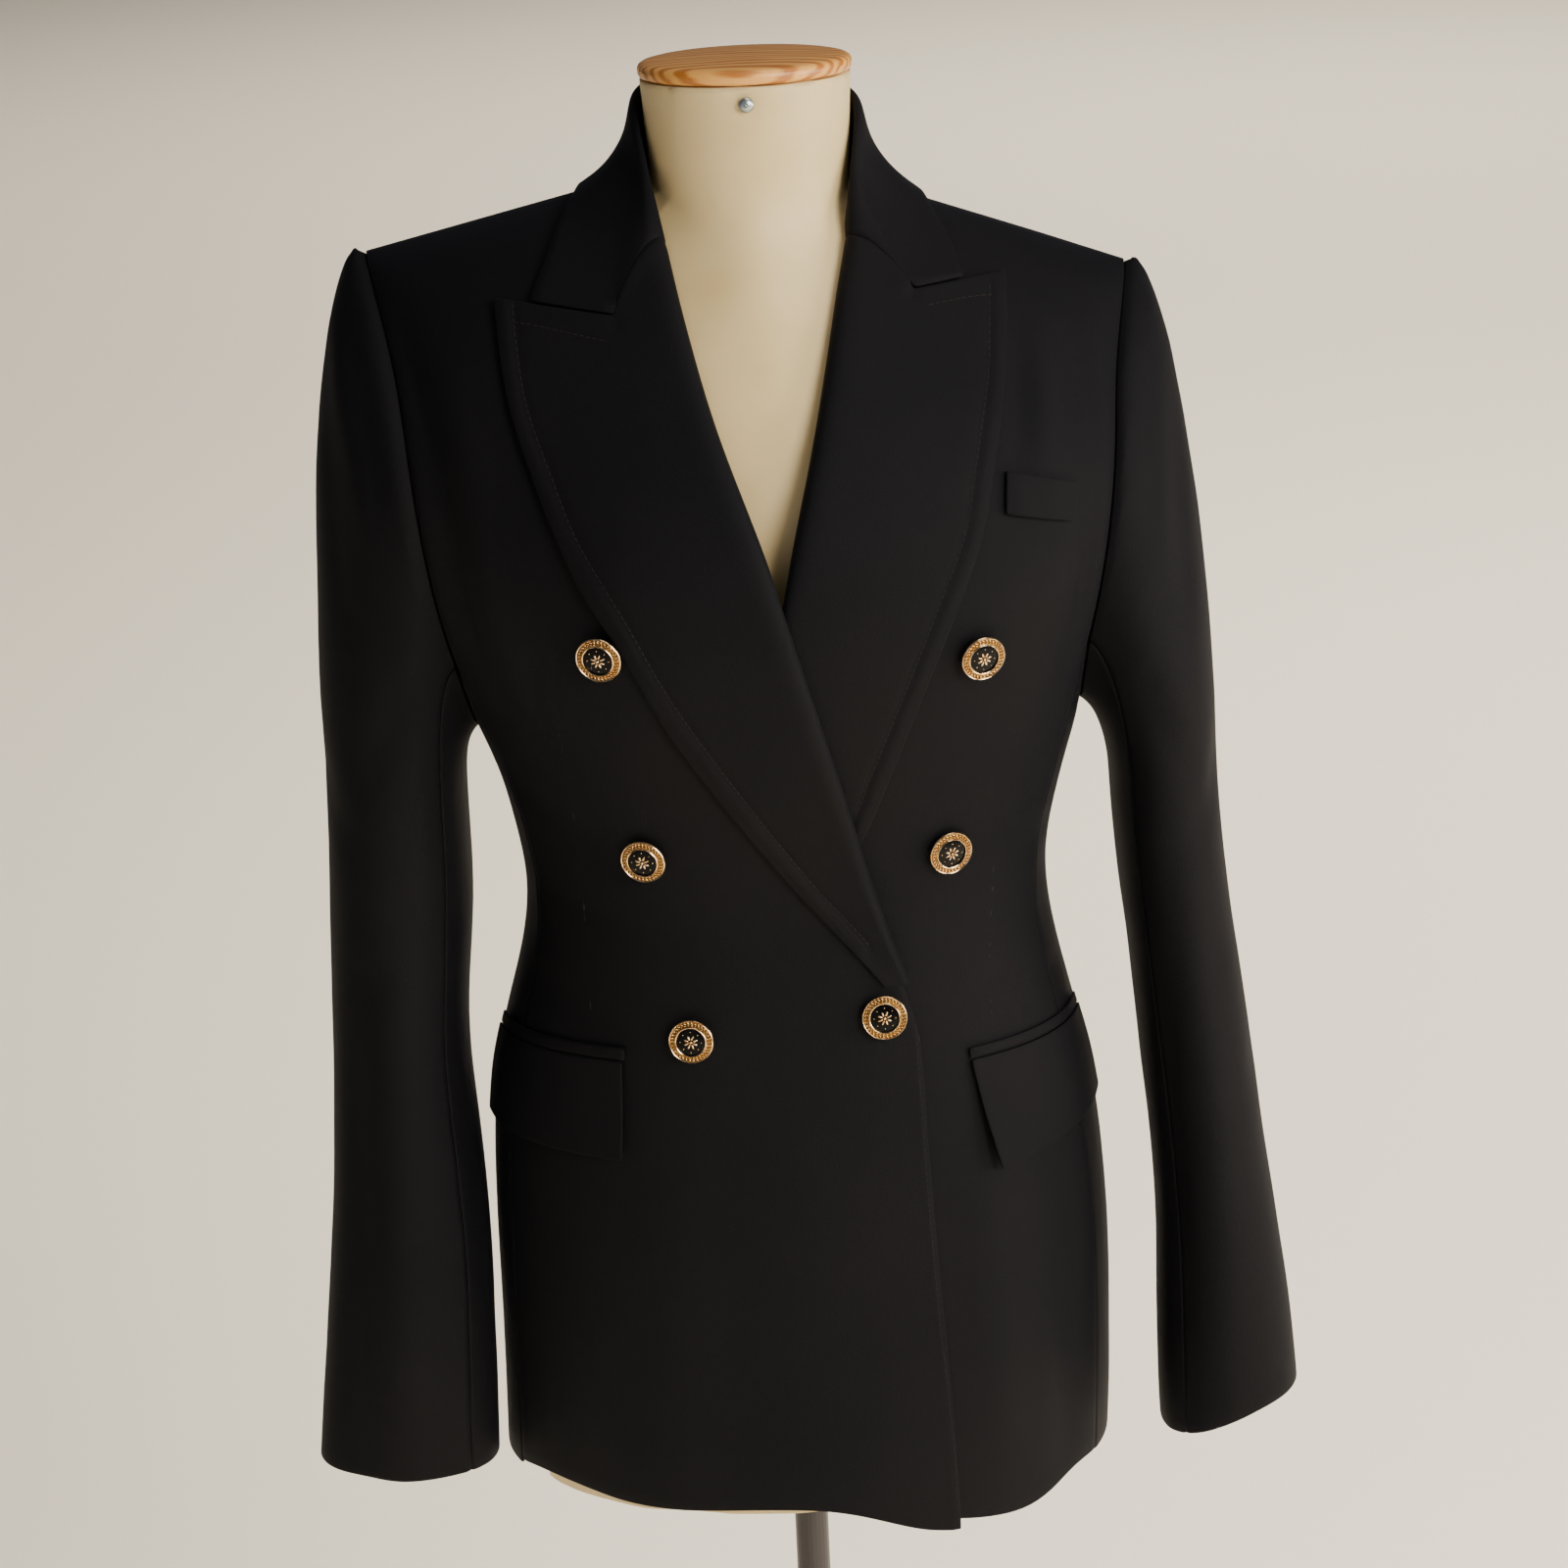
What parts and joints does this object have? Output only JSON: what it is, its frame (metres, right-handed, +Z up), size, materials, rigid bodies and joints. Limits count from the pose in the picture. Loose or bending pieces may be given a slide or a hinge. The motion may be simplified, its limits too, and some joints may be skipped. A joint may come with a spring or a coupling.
{
  "type": "double-breasted blazer on a limbless dress form",
  "caption": "Black double-breasted blazer with peak lapels, flap pockets and shanked buttons, worn by a limbless dress form with a wooden neck cap on a pole and round foot.",
  "frame": {"origin": "centre of the round foot's underside, on the floor under the pole", "axes": "+Z up, the garment's front faces -Y, the wearer's right arm is on -X"},
  "size_m": [0.544, 0.38, 1.3166],
  "materials": {
    "cloth": "matt black crepe suiting",
    "button_gold": "pale gold plate, polished",
    "button_enamel": "black enamel",
    "form_cover": "smooth ivory cover",
    "wood": "light lacquered wood",
    "screw_steel": "zinc plated",
    "stand_steel": "dark satin paint"
  },
  "bodies": {
    "root": {"back_left": "cloth", "back_right": "cloth", "base": "stand_steel", "base_hub": "stand_steel", "button_centre_lower_left": "button_enamel", "button_centre_lower_right": "button_enamel", "button_centre_middle_left": "button_enamel", "button_centre_middle_right": "button_enamel", "button_centre_upper_left": "button_enamel", "button_centre_upper_right": "button_enamel", "button_lower_left": "button_gold", "button_lower_right": "button_gold", "button_middle_left": "button_gold", "button_middle_right": "button_gold", "button_upper_left": "button_gold", "button_upper_right": "button_gold", "chest_welt": "cloth", "collar": "cloth", "form": "form_cover", "front_left": "cloth", "front_right": "cloth", "lapel_left": "cloth", "lapel_right": "cloth", "neck_cap": "wood", "neck_screw": "screw_steel", "pocket_flap_left": "cloth", "pocket_flap_right": "cloth", "pocket_jetting_left": "cloth", "pocket_jetting_right": "cloth", "pole": "stand_steel", "side_panel_left": "cloth", "side_panel_right": "cloth", "sleeve_under_left": "cloth", "sleeve_under_right": "cloth", "sleeve_upper_left": "cloth", "sleeve_upper_right": "cloth"}
  },
  "joints": []
}
